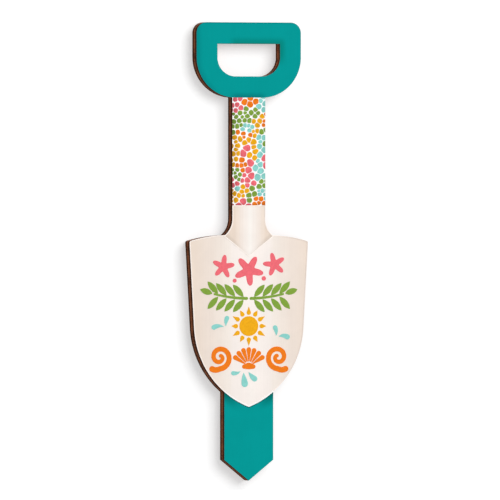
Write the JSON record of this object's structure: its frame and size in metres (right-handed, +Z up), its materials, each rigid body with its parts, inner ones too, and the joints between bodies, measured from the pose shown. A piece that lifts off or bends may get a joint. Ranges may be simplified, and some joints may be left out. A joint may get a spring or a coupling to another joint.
{
  "type": "spade-shaped souvenir stake",
  "caption": "Flat souvenir stake cut from printed plywood in the outline of a D-handled beach spade, with a grip hole and a pointed foot that is pushed into soil or sand.",
  "frame": {"origin": "the stake's point, midway through the board's thickness", "axes": "+Z up along the length from the point to the handle, -Y out of the printed face, +Y out of the bare back, +X to the right of someone looking at the face"},
  "size_m": [0.0554, 0.0064, 0.2035],
  "materials": {
    "charred_plywood": "laser-charred cut edge, bare sanded face on the back",
    "glue_line": "dark charred resin line",
    "teal_print": "satin printed coat",
    "white_print": "satin printed coat",
    "cream_print": "satin printed coat, shaded towards its edges",
    "light_cream_ink": "raised satin ink",
    "coral_ink": "raised satin ink",
    "orange_ink": "raised satin ink",
    "yellow_ink": "raised satin ink",
    "green_ink": "raised satin ink",
    "aqua_ink": "raised satin ink"
  },
  "bodies": {
    "root": {"front_ply": "charred_plywood", "front_glue_line": "glue_line", "core_ply": "charred_plywood", "back_glue_line": "glue_line", "back_ply": "charred_plywood", "handle_facing": "teal_print", "shaft_facing": "white_print", "socket_facing": "cream_print", "blade_facing": "cream_print", "stake_facing": "teal_print", "light_outline": "light_cream_ink", "pebbles_coral": "coral_ink", "pebbles_orange": "orange_ink", "pebbles_yellow": "yellow_ink", "pebbles_green": "green_ink", "pebbles_aqua": "aqua_ink", "starfish_print": "coral_ink", "leaf_print": "green_ink", "sun_print": "yellow_ink", "shell_print": "orange_ink", "splash_drops": "aqua_ink"}
  },
  "joints": []
}
